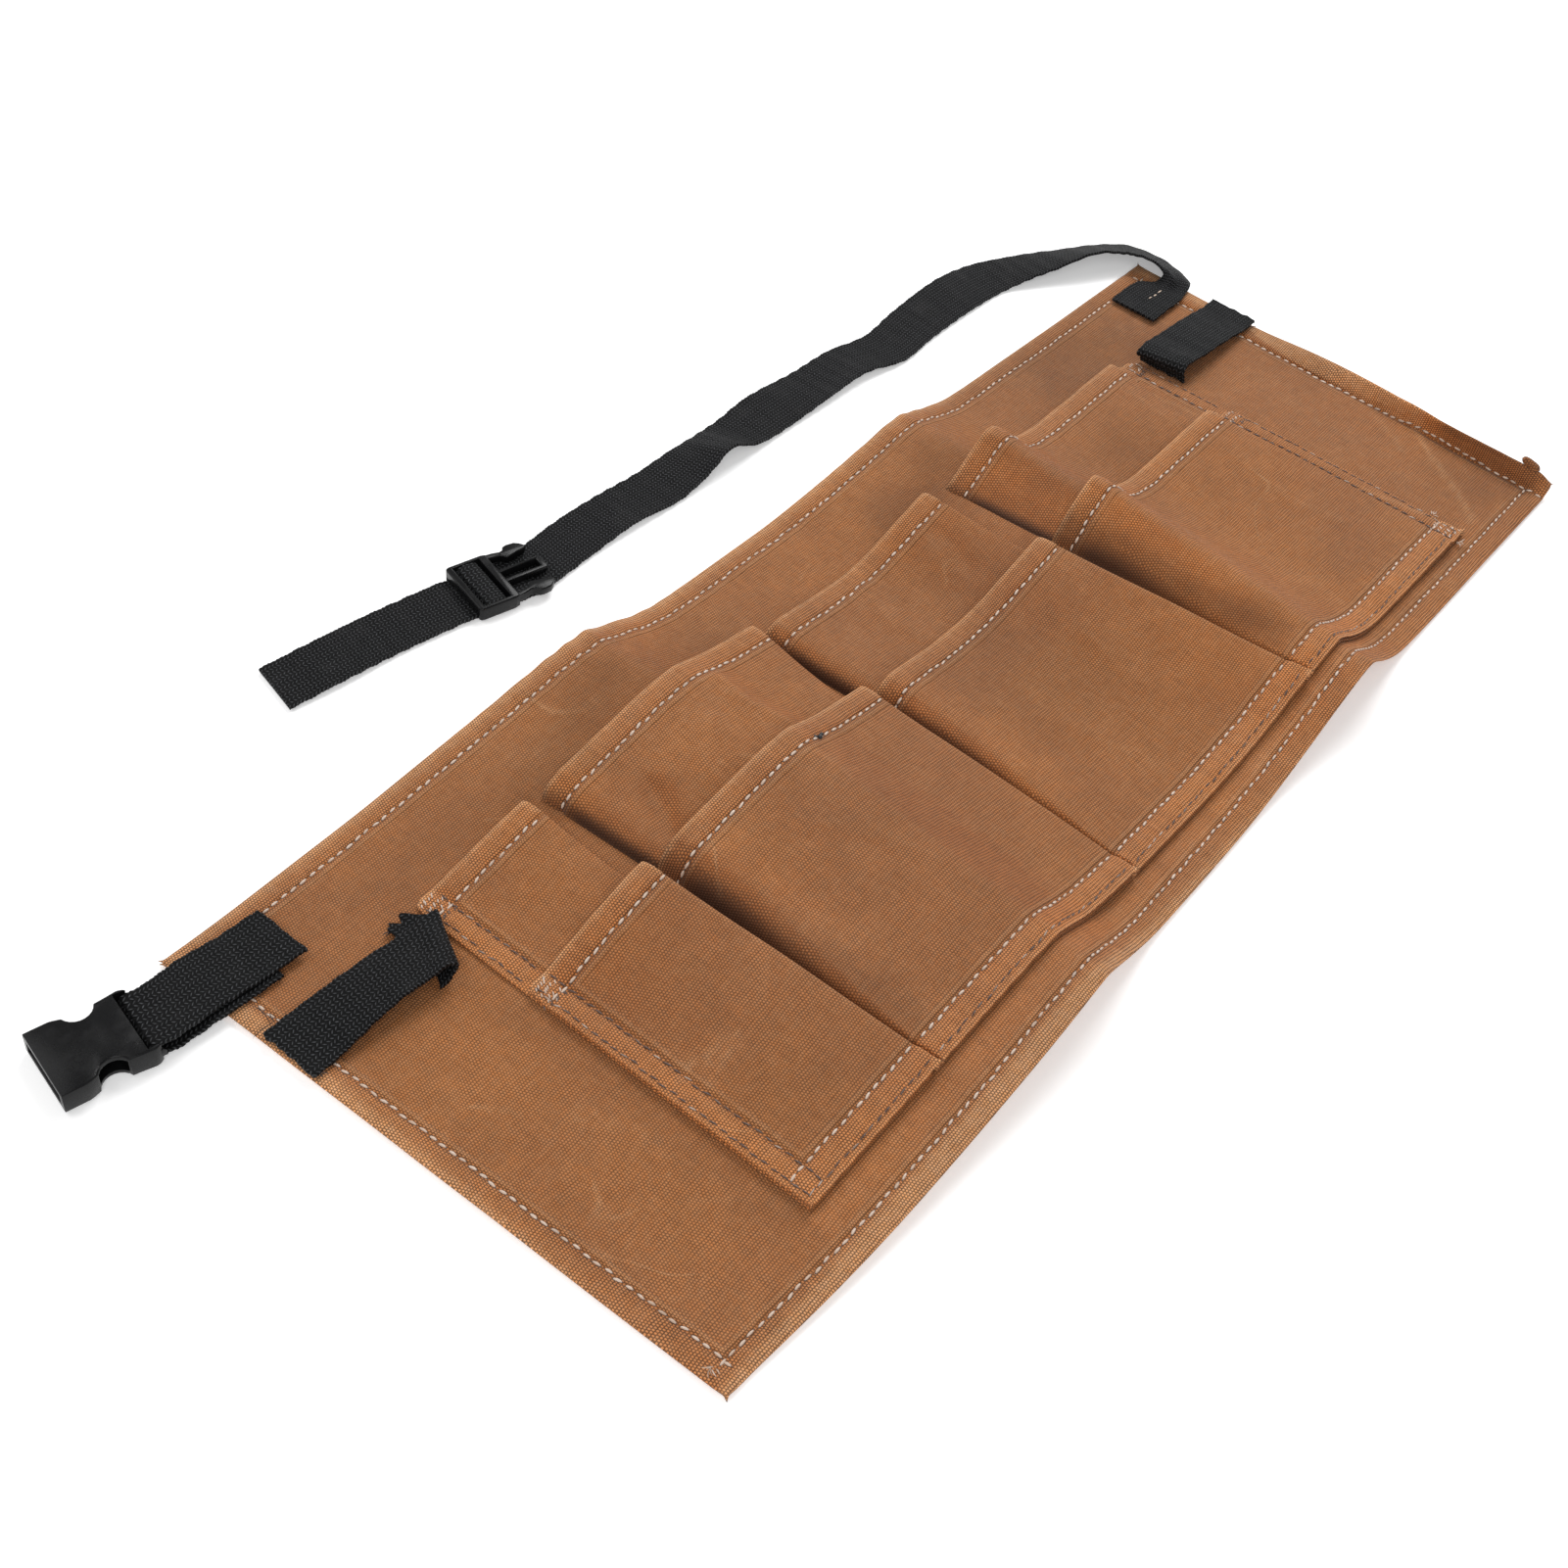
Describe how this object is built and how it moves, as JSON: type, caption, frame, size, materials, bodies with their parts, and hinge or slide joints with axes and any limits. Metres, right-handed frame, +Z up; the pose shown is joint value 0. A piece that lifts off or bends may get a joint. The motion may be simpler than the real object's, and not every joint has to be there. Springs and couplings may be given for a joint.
{
  "type": "tool belt",
  "caption": "Waxed canvas tool belt laid flat, with two rows of open sewn pockets, webbing tool loops and a webbing waist strap that closes with a side-release buckle.",
  "frame": {"origin": "middle of the canvas panel's underside, on the surface that the belt lies on", "axes": "+X along the belt towards the end with the long strap, +Y towards the waist edge, +Z up out of the surface, on the pockets' side"},
  "size_m": [0.6914, 0.3309, 0.0367],
  "materials": {
    "canvas": "waxed canvas, dusty tan",
    "webbing": "black ribbed webbing",
    "buckle": "satin black plastic"
  },
  "bodies": {
    "root": {"backing_panel": "canvas", "back_pocket_1": "canvas", "back_pocket_2": "canvas", "back_pocket_3": "canvas", "back_pocket_4": "canvas", "front_pocket_1": "canvas", "front_pocket_2": "canvas", "front_pocket_3": "canvas", "front_pocket_4": "canvas", "long_strap": "webbing", "short_strap": "webbing", "left_loop": "webbing", "right_loop": "webbing", "male_buckle": "buckle", "female_buckle": "buckle"}
  },
  "joints": []
}
